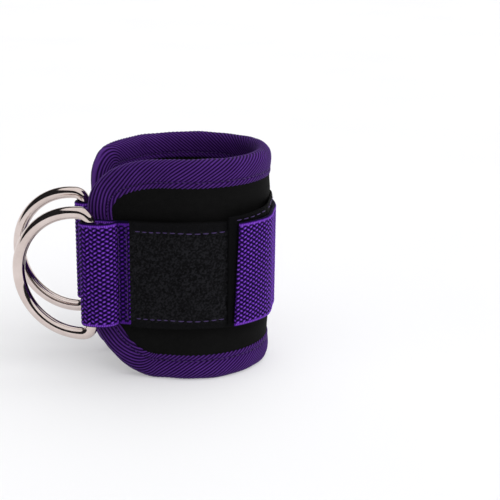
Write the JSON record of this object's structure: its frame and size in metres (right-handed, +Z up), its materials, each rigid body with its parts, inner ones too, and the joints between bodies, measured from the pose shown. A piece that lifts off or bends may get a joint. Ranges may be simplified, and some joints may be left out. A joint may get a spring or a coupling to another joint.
{
  "type": "cable machine ankle cuff",
  "caption": "Padded ankle cuff for a cable machine: taped foam pad, webbing strap with hook-and-loop end, and a steel D-ring at each end.",
  "frame": {"origin": "on the axis of the pad's round bend, at the height of the lower rim that the cuff stands on", "axes": "+Z up along the ankle; -Y towards the front arm with the loop patch; -X towards the two D-rings"},
  "size_m": [0.1259, 0.0808, 0.102],
  "materials": {
    "foam": "matte",
    "face_cloth": "matte",
    "lining": "matte",
    "binding": "satin",
    "webbing": "satin",
    "loop_pile": "matte",
    "hook_tape": "matte",
    "thread": "satin",
    "ring_steel": "polished"
  },
  "bodies": {
    "side_panel": {"foam_side": "foam", "face_side": "face_cloth", "lining_side": "lining", "binding_side": "binding", "binding_seam_side": "thread", "side_strap": "webbing", "strap_seam_side": "thread"},
    "front_panel": {"foam_front": "foam", "face_front": "face_cloth", "lining_front": "lining", "binding_front": "binding", "binding_seam_front": "thread", "front_webbing": "webbing", "front_tab_seam": "thread", "loop_patch": "loop_pile", "patch_seam": "thread", "front_strap": "webbing", "hook_tape": "hook_tape", "hook_seam": "thread"},
    "rear_panel": {"foam_rear": "foam", "face_rear": "face_cloth", "lining_rear": "lining", "binding_rear": "binding", "binding_seam_rear": "thread", "rear_webbing": "webbing", "rear_tab_seam": "thread", "strap_seam_rear": "thread"},
    "strap_tail": {"tail_webbing": "webbing", "tail_hook": "hook_tape", "tail_seam": "thread"},
    "front_d_ring": {"front_ring": "ring_steel"},
    "rear_d_ring": {"rear_ring": "ring_steel"}
  },
  "joints": [
    {"name": "front_fold", "type": "hinge", "parent": "side_panel", "child": "front_panel", "pos_m": [0.04064, -0.00356, 0.051], "axis": [0, 0, 1], "range_deg": [0, 60]},
    {"name": "rear_fold", "type": "hinge", "parent": "side_panel", "child": "rear_panel", "pos_m": [0.02005, 0.03473, 0.051], "axis": [0, 0, -1], "range_deg": [0, 60]},
    {"name": "strap_peel", "type": "hinge", "parent": "front_panel", "child": "strap_tail", "pos_m": [0.03274, -0.02467, 0.0505], "axis": [0, 0, 1], "range_deg": [0, 95]},
    {"name": "front_ring_swing", "type": "hinge", "parent": "front_panel", "child": "front_d_ring", "pos_m": [-0.04382, -0.03444, 0.0499], "axis": [0, 0, 1], "range_deg": [-20, 150]},
    {"name": "rear_ring_swing", "type": "hinge", "parent": "rear_panel", "child": "rear_d_ring", "pos_m": [-0.04965, 0.00409, 0.0499], "axis": [0, 0, 1], "range_deg": [-90, 28]}
  ]
}
